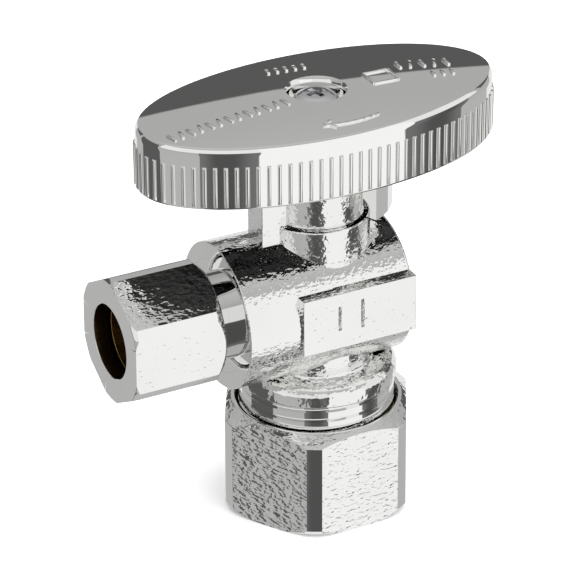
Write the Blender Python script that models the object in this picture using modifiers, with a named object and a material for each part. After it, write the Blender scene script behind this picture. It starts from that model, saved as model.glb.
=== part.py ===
"""Quarter-turn angle stop valve with two compression ends.

World frame: the valve's upright axis is Z and the inlet nut's lower face is Z = 0.
The outlet points along -X and the flat pad of the body faces -Y.
Every piece stands in its open position, with both nuts done up.
"""

import math

import bmesh
import bpy
from mathutils import Matrix, Vector

MM = 0.001

# Fits: between faces that meet, and round a tube in its socket.
GAP = 0.30 * MM
TUBE_GAP = 0.20 * MM
OVERSHOOT = 1.0 * MM
SMALL_EDGE = 0.35 * MM
SHADE_ANGLE = math.radians(32.0)

# Sides of the round pieces.
ROUND = 36
SMALL_ROUND = 24
RING_ROUND = 20


def compression_end(tube_r, thread_wall, pitch, nut_wall, nut_length, lip, bevel, turn):
    """Sizes of one compression end, which all follow its tube."""
    thread_r = tube_r + thread_wall
    flats = 2 * (thread_r + GAP + nut_wall)
    return {
        "tube_r": tube_r, "hole_r": tube_r + TUBE_GAP, "thread_r": thread_r, "pitch": pitch,
        "flats": flats, "corner_r": flats / 2 * CORNER_TRIM, "length": nut_length,
        "lip": lip, "bevel": bevel, "turn": turn,
    }


# Compression ends: 5/8 inch tube at the inlet, 3/8 inch tube at the outlet.
CORNER_TRIM = 1.11
INNER_BEVEL_WIDTH = 1.9 * MM
INNER_BEVEL_HEIGHT = 1.2 * MM
INLET = compression_end(tube_r=7.94 * MM, thread_wall=2.38 * MM, pitch=1.411 * MM,
                        nut_wall=1.285 * MM, nut_length=14.7 * MM, lip=2.6 * MM,
                        bevel=1.05 * MM, turn=math.radians(1.3))
OUTLET = compression_end(tube_r=4.76 * MM, thread_wall=2.38 * MM, pitch=1.058 * MM,
                         nut_wall=0.50 * MM, nut_length=12.75 * MM, lip=1.8 * MM,
                         bevel=0.45 * MM, turn=math.radians(0.5))
INLET_THREAD_SHOWN = 3.3 * MM
OUTLET_NECK_SHOWN = 2.4 * MM
OUTLET_NECK_WALL = 0.84 * MM
SLEEVE_WALL = 1.1 * MM
SLEEVE_BAND = 1.1 * MM
SLEEVE_TAPER = 2.2 * MM
SLEEVE_TAPER_SLOPE = 0.36
SLEEVE_END_ROOM = 0.66 * MM
MOUTH_ROOM = 0.33 * MM
THREAD_RUNOUT = 0.15 * MM
THREAD_DEPTH_SHARE = 0.6

# Ball and seats.
BALL_R = 6.0 * MM
BALL_ROOM = 0.5 * MM
BALL_PORT_R = 3.2 * MM
BALL_SLOT_WALL = 0.8 * MM
SEAT_BORE_R = BALL_PORT_R + 0.2 * MM
SEAT_BACK = BALL_R + 1.0 * MM
SEAT_FRONT = SEAT_BACK - 3.8 * MM

# Stem.
STEM_R = 3.8 * MM
FLANGE_R = STEM_R + 1.2 * MM
FLANGE_THICKNESS = 1.2 * MM
WASHER_THICKNESS = 0.7 * MM
TONGUE_WIDTH = 2.4 * MM
TONGUE_LENGTH = 6.0 * MM
STEM_FLATS = 5.2 * MM

# Rubber rings.
RING_SECTION_R = 0.5 * MM
GROOVE_WIDTH = 1.6 * MM

# Body, along the barrel.
CAVITY_R = BALL_R + BALL_ROOM
RETAINER_BORE_R = CAVITY_R + 1.4 * MM
RETAINER_BORE_END_X = -SEAT_BACK - 0.6 * MM
RETAINER_DEPTH = 6.9 * MM
BARREL_R = RETAINER_BORE_R + 1.92 * MM
BARREL_STEP = 0.20 * MM
BARREL_STEP_X = -2.1 * MM
BARREL_OUTLET_X = RETAINER_BORE_END_X - RETAINER_DEPTH
BARREL_CLOSED_X = SEAT_BACK + GAP + 2.15 * MM
OUTLET_NUT_FACE_X = BARREL_OUTLET_X - OUTLET_NECK_SHOWN - OUTLET["length"]

# Body, upwards from the inlet nut.
SHOULDER_R = INLET["thread_r"] + 0.28 * MM
SHOULDER_ROUND = 2.0 * MM
SHOULDER_FOOT_Z = INLET["length"] + INLET_THREAD_SHOWN
SHOULDER_TOP_Z = SHOULDER_FOOT_Z + 2.5 * MM
SOCKET_STOP_Z = SHOULDER_FOOT_Z - 0.5 * MM
NECK_R = FLANGE_R + GAP + 1.9 * MM
BARREL_SINK = 0.52 * MM
BARREL_AXIS_Z = SHOULDER_TOP_Z + BARREL_R - BARREL_SINK
BONNET_R = FLANGE_R + GAP + 1.66 * MM
BONNET_RIM_Z = BARREL_AXIS_Z + BARREL_R + 2.18 * MM
BONNET_BORE_R = STEM_R + GAP
BONNET_NECK_R = BONNET_BORE_R + 1.95 * MM
BONNET_TOP_Z = BONNET_RIM_Z + 5.2 * MM

# Pad on the body's front.
PAD_RIGHT_X = BARREL_CLOSED_X - 0.2 * MM
PAD_LENGTH = 16.4 * MM
PAD_HEIGHT = 7.9 * MM
PAD_FRONT_Y = -BARREL_R - 0.48 * MM
PAD_CENTRE_Z = BARREL_AXIS_Z + 0.85 * MM

# Heights that follow the ball and the bonnet.
SLOT_FLOOR_Z = BARREL_AXIS_Z + BALL_PORT_R + BALL_SLOT_WALL
FLANGE_BOTTOM_Z = BARREL_AXIS_Z + BALL_R + 0.9 * MM
FLANGE_TOP_Z = FLANGE_BOTTOM_Z + FLANGE_THICKNESS
POCKET_TOP_Z = FLANGE_TOP_Z + WASHER_THICKNESS + 2 * GAP
LOWER_GROOVE_Z = POCKET_TOP_Z + 2.0 * MM
UPPER_GROOVE_Z = BONNET_TOP_Z - 2.4 * MM
STEM_FLATS_Z = BONNET_TOP_Z + GAP
STEM_TOP_Z = BONNET_TOP_Z + 7.0 * MM

# Outlet adapter.
ADAPTER_FACE_INSET = 0.2 * MM
ADAPTER_SOCKET_DEPTH = 7.0 * MM
ADAPTER_GROOVE_X = RETAINER_BORE_END_X - 4.0 * MM

# Handle.
HANDLE_LENGTH = 50.1 * MM
HANDLE_WIDTH = 25.9 * MM
HANDLE_SHOULDER = 1.3 * MM
HANDLE_WALL = 1.7 * MM
HANDLE_DOME = 0.9 * MM
DOME_RINGS = (0.3, 0.6, 0.85)
HANDLE_BOTTOM_Z = BONNET_TOP_Z + 2.6 * MM
HANDLE_SIDE_TOP_Z = HANDLE_BOTTOM_Z + 7.1 * MM
HANDLE_EDGE_TOP_Z = HANDLE_SIDE_TOP_Z + HANDLE_SHOULDER
HANDLE_CROWN_Z = HANDLE_EDGE_TOP_Z + HANDLE_DOME
HANDLE_CEILING_Z = STEM_TOP_Z + 1.6 * MM
HUB_R = STEM_R + GAP + 1.5 * MM
HUB_BOTTOM_Z = STEM_FLATS_Z + GAP

# Handle screw.
SCREW_R = 2.0 * MM
SCREW_HEAD_R = 2.9 * MM
SCREW_HEAD_HEIGHT = 1.9 * MM
SCREW_LENGTH = 7.1 * MM
# The head's crown, as (share of its radius, share of its height below its top).
SCREW_CROWN = ((0.62, 0.09), (0.9, 0.27), (1.0, 0.585))
TAPPED_R = SCREW_R + GAP
CROSS_WIDTH = 0.75 * MM
CROSS_LENGTH = 3.4 * MM
CROSS_DEPTH = 1.2 * MM
RECESS_R = SCREW_HEAD_R + 0.6 * MM
RECESS_FLOOR_Z = STEM_TOP_Z + 2.2 * MM

# Stops: the skirt's ends meet the body's lug a quarter turn apart.
QUARTER_TURN = math.radians(90.0)
STOP_MARGIN = math.radians(1.5)
SKIRT_INNER_R = BONNET_R + 0.34 * MM
SKIRT_OUTER_R = SKIRT_INNER_R + 2.55 * MM
SKIRT_BOTTOM_Z = BONNET_TOP_Z - 4.0 * MM
LUG_OUTER_X = -SKIRT_INNER_R - 1.7 * MM
LUG_FRONT_Y = -2.4 * MM
LUG_BACK_Y = 1.8 * MM
LUG_TOP_Z = BONNET_TOP_Z - 0.4 * MM
SKIRT_END = math.pi - math.asin((LUG_BACK_Y + GAP) / SKIRT_INNER_R)
SKIRT_START = (math.asin((GAP - LUG_FRONT_Y) / SKIRT_INNER_R) - math.pi
               + QUARTER_TURN + STOP_MARGIN)


def collection(name):
    """Make a collection and link it to the scene."""
    made = bpy.data.collections.new(name)
    bpy.context.scene.collection.children.link(made)
    return made


def material(name, colour, roughness, metallic):
    """A Principled material of one colour."""
    made = bpy.data.materials.new(name)
    made.use_nodes = True
    shader = made.node_tree.nodes["Principled BSDF"]
    shader.inputs["Base Color"].default_value = (*colour, 1.0)
    shader.inputs["Roughness"].default_value = roughness
    shader.inputs["Metallic"].default_value = metallic
    return made


def place(obj, group, surface=None):
    """Put an object in a group, with its material; a cutter has none."""
    for old in list(obj.users_collection):
        old.objects.unlink(obj)
    group.objects.link(obj)
    if surface is None:
        obj.hide_render = True
        obj.display_type = "WIRE"
        return obj
    obj.data.materials.append(surface)
    obj.data.shade_smooth()
    obj.data.set_sharp_from_angle(angle=SHADE_ANGLE)
    return obj


def turned(name, profile, steps, group, surface=None, closed=False):
    """A turned shape about Z from (radius, height) points, outer side first, top to bottom."""
    points = [(radius, 0.0, height) for radius, height in profile]
    edges = [(i, i + 1) for i in range(len(points) - 1)]
    if closed:
        edges.append((len(points) - 1, 0))
    mesh = bpy.data.meshes.new(name)
    mesh.from_pydata(points, edges, [])
    obj = bpy.data.objects.new(name, mesh)
    bpy.context.scene.collection.objects.link(obj)
    screw = obj.modifiers.new("Turn", "SCREW")
    screw.steps = steps
    screw.render_steps = steps
    screw.use_merge_vertices = True
    screw.merge_threshold = 0.00001
    return place(obj, group, surface)


def lay_along_outlet(obj, x):
    """Turn a shape made about Z so that its +Z points along -X, with its origin at x."""
    obj.rotation_euler = (0.0, math.radians(-90.0), 0.0)
    obj.location = (x, 0.0, BARREL_AXIS_Z)
    return obj


def box(name, low, high, group):
    """A box between two corners, to cut or to join with."""
    low, high = Vector(low), Vector(high)
    bpy.ops.mesh.primitive_cube_add(size=1.0, location=(low + high) / 2)
    obj = bpy.context.object
    obj.name = name
    obj.scale = high - low
    bpy.ops.object.transform_apply(location=False, rotation=False, scale=True)
    return place(obj, group)


def boolean(obj, other, operation):
    """Add an exact Boolean of another object."""
    made = obj.modifiers.new(other.name, "BOOLEAN")
    made.operation = operation
    made.object = other
    made.solver = "EXACT"


def arc(centre, radius, start, end, count):
    """Points of a round stretch in (radius, height), by angles in degrees."""
    points = []
    for i in range(count + 1):
        angle = math.radians(start + (end - start) * i / count)
        points.append((centre[0] + radius * math.cos(angle), centre[1] + radius * math.sin(angle)))
    return points


def thread_profile(crest_r, pitch, top, bottom):
    """Ridges of an outside thread as rings, from top to bottom."""
    root_r = crest_r - THREAD_DEPTH_SHARE * pitch
    turns = int((top - bottom) / pitch)
    points = []
    for i in range(turns):
        points.append((root_r, top - pitch * i))
        points.append((crest_r, top - pitch * (i + 0.5)))
    points.append((root_r, top - pitch * turns))
    points.append((root_r, bottom))
    return points


# Compression ends. Their profiles run in (radius, distance from the nut's outer face).

def sleeve_radius(size):
    """Outer radius of the sleeve's band."""
    return size["tube_r"] + SLEEVE_WALL


def sleeve_band_start(size):
    """Where the sleeve's outer cone meets its band."""
    return size["lip"] + sleeve_radius(size) - size["hole_r"] + GAP * math.sqrt(2)


def mouth_start(size):
    """Where the threaded end starts, past the middle of the sleeve."""
    return sleeve_band_start(size) + SLEEVE_BAND + GAP


def mouth_profile(size, socket_depth):
    """Inner wall of a threaded end: the mouth round the sleeve, then the tube socket."""
    socket_r = size["hole_r"]
    start = mouth_start(size)
    taper_start = sleeve_band_start(size) + SLEEVE_BAND
    open_r = sleeve_radius(size) + MOUTH_ROOM - (start - taper_start) * SLEEVE_TAPER_SLOPE
    cone_end = start + (open_r - socket_r) / SLEEVE_TAPER_SLOPE
    return [(open_r, start), (socket_r, cone_end), (socket_r, start + socket_depth)]


def make_nut(name, size, group, cutters, surface):
    """A compression nut: a turned blank with its bore, cut to a hexagon."""
    hole_r = size["hole_r"]
    bore_r = size["thread_r"] + GAP
    length, corner_r = size["length"], size["corner_r"]
    cone_end = size["lip"] + bore_r - hole_r
    top_r = max(corner_r - INNER_BEVEL_WIDTH, bore_r + SMALL_EDGE)
    profile = [
        (top_r, length),
        (corner_r, length - INNER_BEVEL_HEIGHT),
        (corner_r, size["bevel"]),
        (corner_r - size["bevel"], 0.0),
        (hole_r, 0.0),
        (hole_r, size["lip"]),
        (bore_r, cone_end),
        (bore_r, length),
    ]
    blank = turned(name, profile, ROUND, group, surface, closed=True)
    bpy.ops.mesh.primitive_cylinder_add(
        vertices=6, radius=size["flats"] / math.sqrt(3), depth=2 * (length + OVERSHOOT))
    prism = place(bpy.context.object, cutters)
    prism.name = name + "_hexagon"
    prism.data.transform(Matrix.Rotation(math.radians(30.0) + size["turn"], 4, "Z"))
    boolean(blank, prism, "INTERSECT")
    return blank, prism


def make_sleeve(name, size, group, surface):
    """A compression sleeve with a steep outer cone and a long inner taper."""
    inner_r = size["tube_r"] + TUBE_GAP / 2
    outer_r = sleeve_radius(size)
    band = sleeve_band_start(size)
    end = band + SLEEVE_BAND + SLEEVE_TAPER
    start = size["lip"] + SLEEVE_END_ROOM
    start_r = outer_r - (band - start)
    profile = [
        (outer_r - SLEEVE_TAPER * SLEEVE_TAPER_SLOPE, end),
        (outer_r, band + SLEEVE_BAND),
        (outer_r, band),
        (start_r, start),
        (inner_r, start),
        (inner_r, end),
    ]
    return turned(name, profile, ROUND, group, surface, closed=True)


def outlet_upside(obj):
    """Lay a compression piece, made from its outer face upwards, along the outlet."""
    obj.rotation_euler = (0.0, math.radians(90.0), 0.0)
    obj.location = (OUTLET_NUT_FACE_X, 0.0, BARREL_AXIS_Z)
    return obj


# Body.

def body_core_profile():
    """Outer side of the upright part of the body, top to bottom."""
    thread_top = SHOULDER_FOOT_Z - THREAD_RUNOUT
    points = [
        (0.0, BONNET_TOP_Z),
        (BONNET_NECK_R - SMALL_EDGE, BONNET_TOP_Z),
        (BONNET_NECK_R, BONNET_TOP_Z - SMALL_EDGE),
        (BONNET_NECK_R, BONNET_RIM_Z),
        (BONNET_R - SMALL_EDGE, BONNET_RIM_Z),
        (BONNET_R, BONNET_RIM_Z - SMALL_EDGE),
        (BONNET_R, BARREL_AXIS_Z),
        (NECK_R, BARREL_AXIS_Z),
        (NECK_R, SHOULDER_TOP_Z),
    ]
    centre = (SHOULDER_R - SHOULDER_ROUND, SHOULDER_TOP_Z - SHOULDER_ROUND)
    points += arc(centre, SHOULDER_ROUND, 90.0, 0.0, 4)
    points.append((SHOULDER_R, SHOULDER_FOOT_Z))
    points += thread_profile(INLET["thread_r"], INLET["pitch"],
                             thread_top, mouth_start(INLET))
    points.append((0.0, mouth_start(INLET)))
    return points


def upright_bore_profile():
    """Outer side of the upright waterway and stem bore, top to bottom."""
    pocket_r = FLANGE_R + GAP
    mouth = mouth_profile(INLET, SOCKET_STOP_Z - mouth_start(INLET))
    mouth_r, mouth_z = mouth[0]
    points = [
        (0.0, BONNET_TOP_Z + OVERSHOOT),
        (BONNET_BORE_R, BONNET_TOP_Z + OVERSHOOT),
        (BONNET_BORE_R, POCKET_TOP_Z),
        (pocket_r, POCKET_TOP_Z),
        (pocket_r, SOCKET_STOP_Z),
    ]
    points += list(reversed(mouth))
    points += [(mouth_r, mouth_z - OVERSHOOT), (0.0, mouth_z - OVERSHOOT)]
    return points


def barrel_profile():
    """Outer side of the barrel, from the outlet end to the closed end, about the origin."""
    right_r = BARREL_R - BARREL_STEP
    return [
        (0.0, -BARREL_OUTLET_X),
        (BARREL_R - SMALL_EDGE, -BARREL_OUTLET_X),
        (BARREL_R, -BARREL_OUTLET_X - SMALL_EDGE),
        (BARREL_R, -BARREL_STEP_X),
        (right_r, -BARREL_STEP_X),
        (right_r, -BARREL_CLOSED_X + SMALL_EDGE),
        (right_r - SMALL_EDGE, -BARREL_CLOSED_X),
        (0.0, -BARREL_CLOSED_X),
    ]


def cavity_profile():
    """Outer side of the ball's bore, from the outlet end to the blind end."""
    blind_x = SEAT_BACK + GAP
    return [
        (0.0, -BARREL_OUTLET_X + OVERSHOOT),
        (RETAINER_BORE_R, -BARREL_OUTLET_X + OVERSHOOT),
        (RETAINER_BORE_R, -RETAINER_BORE_END_X),
        (CAVITY_R, -RETAINER_BORE_END_X),
        (CAVITY_R, -blind_x),
        (0.0, -blind_x),
    ]


def make_body(group, cutters, surface):
    """The forged body: barrel, inlet thread, bonnet, pad and stop lug in one piece."""
    body = turned("valve_body", body_core_profile(), ROUND, group, surface)
    barrel = lay_along_outlet(turned("barrel", barrel_profile(), ROUND, cutters), 0.0)
    pad = box("pad", (PAD_RIGHT_X - PAD_LENGTH, PAD_FRONT_Y, PAD_CENTRE_Z - PAD_HEIGHT / 2),
              (PAD_RIGHT_X, 0.0, PAD_CENTRE_Z + PAD_HEIGHT / 2), cutters)
    lug = box("lug", (LUG_OUTER_X, LUG_FRONT_Y, BARREL_AXIS_Z + CAVITY_R + SMALL_EDGE),
              (-BONNET_BORE_R - SMALL_EDGE, LUG_BACK_Y, LUG_TOP_Z), cutters)
    for piece in (barrel, pad, lug):
        boolean(body, piece, "UNION")
    waterway = turned("waterway", upright_bore_profile(), ROUND, cutters)
    cavity = lay_along_outlet(turned("cavity", cavity_profile(), ROUND, cutters), 0.0)
    for cutter in (waterway, cavity):
        boolean(body, cutter, "DIFFERENCE")
    return body


# Outlet adapter, in (radius, distance from the outlet nut's outer face).

def from_nut_face(x):
    """Distance of a world X from the outlet nut's outer face."""
    return x - OUTLET_NUT_FACE_X


def make_adapter(group, surface):
    """The threaded outlet end that screws into the barrel and holds the ball's seat."""
    thread_r = OUTLET["thread_r"]
    face = from_nut_face(BARREL_OUTLET_X + ADAPTER_FACE_INSET)
    inner_r = RETAINER_BORE_R - GAP
    end = from_nut_face(-SEAT_BACK - GAP)
    step = from_nut_face(RETAINER_BORE_END_X - GAP)
    groove = from_nut_face(ADAPTER_GROOVE_X)
    floor_r = inner_r - 2 * RING_SECTION_R - GAP
    nose_r = CAVITY_R - GAP
    mouth = mouth_profile(OUTLET, ADAPTER_SOCKET_DEPTH)
    neck_r = OUTLET["hole_r"] + OUTLET_NECK_WALL
    neck_end = face - OUTLET_NECK_SHOWN
    thread = thread_profile(thread_r, OUTLET["pitch"], neck_end, mouth_start(OUTLET))
    profile = [
        (nose_r, end), (nose_r, step), (inner_r, step),
        (inner_r, groove + GROOVE_WIDTH / 2), (floor_r, groove + GROOVE_WIDTH / 2),
        (floor_r, groove - GROOVE_WIDTH / 2), (inner_r, groove - GROOVE_WIDTH / 2),
        (inner_r, face), (neck_r, face), (neck_r, neck_end),
    ]
    profile += thread + mouth
    profile += [(SEAT_BORE_R, mouth[-1][1]), (SEAT_BORE_R, end)]
    return outlet_upside(turned("outlet_adapter", profile, ROUND, group, surface, closed=True))


def make_ring(name, centre_r, group, surface):
    """A rubber ring of round section about Z, as a torus."""
    bpy.ops.mesh.primitive_torus_add(
        major_segments=RING_ROUND, minor_segments=8,
        major_radius=centre_r, minor_radius=RING_SECTION_R)
    ring = bpy.context.object
    ring.name = name
    return place(ring, group, surface)


# Ball and seats.

def make_seat(name, group, surface):
    """A plastic seat ring about Z whose upper face is hollowed to the ball."""
    hollow_r = BALL_R + GAP
    outer_r = CAVITY_R - GAP
    lip_r = math.sqrt(hollow_r ** 2 - SEAT_FRONT ** 2)
    start = math.degrees(math.atan2(-SEAT_FRONT, lip_r))
    end = math.degrees(-math.acos(SEAT_BORE_R / hollow_r))
    profile = [(outer_r, -SEAT_FRONT), (outer_r, -SEAT_BACK), (SEAT_BORE_R, -SEAT_BACK)]
    profile += list(reversed(arc((0.0, 0.0), hollow_r, start, end, 5)))
    return turned(name, profile, ROUND, group, surface, closed=True)


def make_ball(group, cutters, surface):
    """The ball with its elbow-shaped port and the slot that the stem turns it by."""
    bpy.ops.mesh.primitive_uv_sphere_add(
        segments=ROUND, ring_count=ROUND // 2, radius=BALL_R)
    ball = place(bpy.context.object, group, surface)
    ball.name = "ball"
    ball.location = (0.0, 0.0, BARREL_AXIS_Z)
    reach = BALL_R + OVERSHOOT
    down = [(0.0, 0.0), (BALL_PORT_R, 0.0), (BALL_PORT_R, -reach), (0.0, -reach)]
    inlet = turned("ball_inlet", down, SMALL_ROUND, cutters)
    inlet.location = (0.0, 0.0, BARREL_AXIS_Z)
    side = [(0.0, reach), (BALL_PORT_R, reach)]
    side += arc((0.0, 0.0), BALL_PORT_R, 0.0, -90.0, 5)
    outlet = lay_along_outlet(turned("ball_outlet", side, SMALL_ROUND, cutters), 0.0)
    half = TONGUE_WIDTH / 2 + GAP
    slot = box("ball_slot", (-half, -reach, SLOT_FLOOR_Z),
               (half, reach, BARREL_AXIS_Z + reach), cutters)
    for cutter in (inlet, outlet, slot):
        boolean(ball, cutter, "DIFFERENCE")
    return ball


# Stem and its rings.

def groove_profile(centre_z):
    """Outer side of one ring groove in the stem, top to bottom."""
    floor_r = STEM_R - 2 * RING_SECTION_R - GAP
    top, bottom = centre_z + GROOVE_WIDTH / 2, centre_z - GROOVE_WIDTH / 2
    return [(STEM_R, top), (floor_r, top), (floor_r, bottom), (STEM_R, bottom)]


def make_stem(group, cutters, surface):
    """The stem: tongue, flange, two ring grooves, drive flats and tapped end."""
    profile = [(0.0, STEM_TOP_Z), (STEM_R - SMALL_EDGE, STEM_TOP_Z),
               (STEM_R, STEM_TOP_Z - SMALL_EDGE)]
    profile += groove_profile(UPPER_GROOVE_Z) + groove_profile(LOWER_GROOVE_Z)
    profile += [(STEM_R, FLANGE_TOP_Z), (FLANGE_R, FLANGE_TOP_Z),
                (FLANGE_R, FLANGE_BOTTOM_Z), (0.0, FLANGE_BOTTOM_Z)]
    stem = turned("stem", profile, SMALL_ROUND, group, surface)
    tongue = box("tongue", (-TONGUE_WIDTH / 2, -TONGUE_LENGTH / 2, SLOT_FLOOR_Z + GAP),
                 (TONGUE_WIDTH / 2, TONGUE_LENGTH / 2, FLANGE_BOTTOM_Z + SMALL_EDGE), cutters)
    boolean(stem, tongue, "UNION")
    for side in (-1, 1):
        near, far = side * STEM_FLATS / 2, side * (STEM_R + OVERSHOOT)
        flat = box("stem_flat", (-STEM_R - OVERSHOOT, min(near, far), STEM_FLATS_Z),
                   (STEM_R + OVERSHOOT, max(near, far), STEM_TOP_Z + OVERSHOOT), cutters)
        boolean(stem, flat, "DIFFERENCE")
    hole_floor = RECESS_FLOOR_Z - SCREW_LENGTH - OVERSHOOT
    tapped = turned("tapped_hole", [
        (0.0, STEM_TOP_Z + OVERSHOOT), (TAPPED_R, STEM_TOP_Z + OVERSHOOT),
        (TAPPED_R, hole_floor), (0.0, hole_floor - TAPPED_R / 2)], SMALL_ROUND, cutters)
    boolean(stem, tapped, "DIFFERENCE")
    return stem


def make_washer(group, surface):
    """The thrust washer between the stem's flange and the bonnet."""
    bottom = FLANGE_TOP_Z + GAP
    top = bottom + WASHER_THICKNESS
    inner_r = STEM_R + GAP
    profile = [(FLANGE_R, top), (FLANGE_R, bottom), (inner_r, bottom), (inner_r, top)]
    return turned("stem_washer", profile, SMALL_ROUND, group, surface, closed=True)


# Handle.

def handle_outer_profile():
    """Outer side of the handle at its long radius, top to bottom."""
    radius = HANDLE_LENGTH / 2
    points = [(0.0, HANDLE_CROWN_Z)]
    for share in DOME_RINGS:
        height = HANDLE_CROWN_Z - HANDLE_DOME * share ** 2
        points.append(((radius - HANDLE_SHOULDER) * share, height))
    centre = (radius - HANDLE_SHOULDER, HANDLE_SIDE_TOP_Z)
    points += arc(centre, HANDLE_SHOULDER, 90.0, 0.0, 4)
    points.append((radius, HANDLE_BOTTOM_Z))
    points.append((0.0, HANDLE_BOTTOM_Z))
    return points


def squeeze(obj, length, width):
    """Make a round shape oval by its scale along Y."""
    obj.scale = (1.0, width / length, 1.0)
    return obj


def make_skirt(cutters):
    """The part ring under the handle whose ends meet the body's stop lug."""
    mesh = bpy.data.meshes.new("skirt")
    sweep = bmesh.new()
    top_z = HANDLE_CEILING_Z + SMALL_EDGE
    corners = [(SKIRT_INNER_R, SKIRT_BOTTOM_Z), (SKIRT_OUTER_R, SKIRT_BOTTOM_Z),
               (SKIRT_OUTER_R, top_z), (SKIRT_INNER_R, top_z)]
    turn = Matrix.Rotation(SKIRT_START, 3, "Z")
    face = sweep.faces.new([sweep.verts.new(turn @ Vector((r, 0.0, z))) for r, z in corners])
    steps = round(ROUND * (SKIRT_END - SKIRT_START) / math.tau)
    bmesh.ops.spin(sweep, geom=[face, *face.edges, *face.verts], axis=(0.0, 0.0, 1.0),
                   cent=(0.0, 0.0, 0.0), angle=SKIRT_END - SKIRT_START, steps=steps)
    bmesh.ops.recalc_face_normals(sweep, faces=sweep.faces)
    sweep.to_mesh(mesh)
    sweep.free()
    skirt = bpy.data.objects.new("skirt", mesh)
    bpy.context.scene.collection.objects.link(skirt)
    return place(skirt, cutters)


def make_handle(group, cutters, surface):
    """The oval handle: hollow cap, hub with the drive socket, skirt and screw recess."""
    handle = turned("handle", handle_outer_profile(), 2 * ROUND, group, surface)
    squeeze(handle, HANDLE_LENGTH, HANDLE_WIDTH)
    inner_length = HANDLE_LENGTH - 2 * HANDLE_WALL
    inner_width = HANDLE_WIDTH - 2 * HANDLE_WALL
    hollow = turned("handle_hollow", [
        (0.0, HANDLE_CEILING_Z), (inner_length / 2, HANDLE_CEILING_Z),
        (inner_length / 2, HANDLE_BOTTOM_Z - OVERSHOOT), (0.0, HANDLE_BOTTOM_Z - OVERSHOOT),
    ], 2 * ROUND, cutters)
    squeeze(hollow, inner_length, inner_width)
    boolean(handle, hollow, "DIFFERENCE")
    hub = turned("hub", [(0.0, RECESS_FLOOR_Z), (HUB_R, RECESS_FLOOR_Z),
                         (HUB_R, HUB_BOTTOM_Z), (0.0, HUB_BOTTOM_Z)], SMALL_ROUND, cutters)
    boolean(handle, hub, "UNION")
    boolean(handle, make_skirt(cutters), "UNION")
    for cutter in handle_cutters(cutters):
        boolean(handle, cutter, "DIFFERENCE")
    return handle


def handle_cutters(cutters):
    """The screw recess, the screw hole and the two-flat drive socket."""
    recess = turned("recess", [
        (0.0, HANDLE_CROWN_Z + OVERSHOOT), (RECESS_R + OVERSHOOT, HANDLE_CROWN_Z + OVERSHOOT),
        (RECESS_R, HANDLE_CROWN_Z - SMALL_EDGE), (RECESS_R, RECESS_FLOOR_Z),
        (0.0, RECESS_FLOOR_Z)], SMALL_ROUND, cutters)
    hole_r = SCREW_R + GAP
    socket_r = STEM_R + GAP
    socket_top = STEM_TOP_Z + GAP
    hole = turned("screw_hole", [
        (0.0, RECESS_FLOOR_Z + OVERSHOOT), (hole_r, RECESS_FLOOR_Z + OVERSHOOT),
        (hole_r, STEM_TOP_Z - OVERSHOOT), (0.0, STEM_TOP_Z - OVERSHOOT)],
        SMALL_ROUND, cutters)
    socket = turned("drive_socket", [
        (0.0, socket_top), (socket_r, socket_top), (socket_r, HUB_BOTTOM_Z - OVERSHOOT),
        (0.0, HUB_BOTTOM_Z - OVERSHOOT)], SMALL_ROUND, cutters)
    half = STEM_FLATS / 2 + GAP
    slab = box("drive_slab", (-HUB_R, -half, HUB_BOTTOM_Z - 2 * OVERSHOOT),
               (HUB_R, half, socket_top + OVERSHOOT), cutters)
    boolean(socket, slab, "INTERSECT")
    return recess, hole, socket


def make_screw(group, cutters, surface):
    """The cross-head screw that holds the handle on the stem."""
    seat_z = RECESS_FLOOR_Z + GAP
    top_z = seat_z + SCREW_HEAD_HEIGHT
    tip_z = seat_z - SCREW_LENGTH
    profile = [(0.0, top_z)]
    profile += [(SCREW_HEAD_R * out, top_z - SCREW_HEAD_HEIGHT * down)
                for out, down in SCREW_CROWN]
    profile += [(SCREW_HEAD_R, seat_z), (SCREW_R, seat_z), (SCREW_R, tip_z + SMALL_EDGE),
                (SCREW_R - SMALL_EDGE, tip_z), (0.0, tip_z)]
    screw = turned("handle_screw", profile, SMALL_ROUND, group, surface)
    for name, across, along in (("cross_x", CROSS_WIDTH, CROSS_LENGTH),
                                ("cross_y", CROSS_LENGTH, CROSS_WIDTH)):
        bar = box(name, (-along / 2, -across / 2, top_z - CROSS_DEPTH),
                  (along / 2, across / 2, top_z + OVERSHOOT), cutters)
        boolean(screw, bar, "DIFFERENCE")
    return screw


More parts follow.
